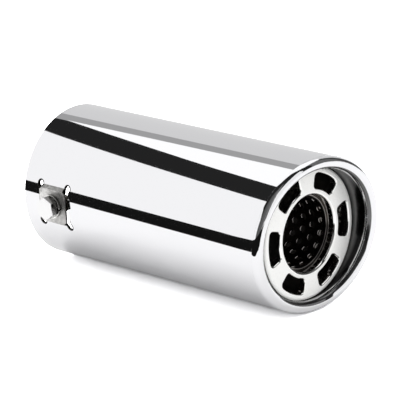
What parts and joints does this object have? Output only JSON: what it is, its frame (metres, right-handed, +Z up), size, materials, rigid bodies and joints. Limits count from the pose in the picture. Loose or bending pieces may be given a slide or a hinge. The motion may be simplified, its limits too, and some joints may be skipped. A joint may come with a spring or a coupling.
{
  "type": "exhaust tip",
  "caption": "Round polished exhaust tip with a slanted rolled lip, a slotted end plate round a perforated core, and a bolt clamp near its inlet.",
  "frame": {"origin": "centre of the square-cut inlet edge, on the tube's axis", "axes": "+X along the tube's axis from the inlet to the outlet, -Y out of the clamp bridge along the bolt, +Z up as in the picture"},
  "size_m": [0.1628, 0.0824, 0.076],
  "materials": {
    "polished_steel": "mirror polished",
    "satin_steel": "satin",
    "dark_steel": "dull, darkened by shadow and heat",
    "zinc_bolt": "bright zinc plated",
    "zinc_washer": "zinc plated",
    "plain_nut": "plain steel"
  },
  "bodies": {
    "root": {"outer_shell": "polished_steel", "end_plate": "satin_steel", "perforated_core": "dark_steel", "clamp_bolt": "zinc_bolt", "spring_washer": "zinc_washer", "weld_nut": "plain_nut"}
  },
  "joints": []
}
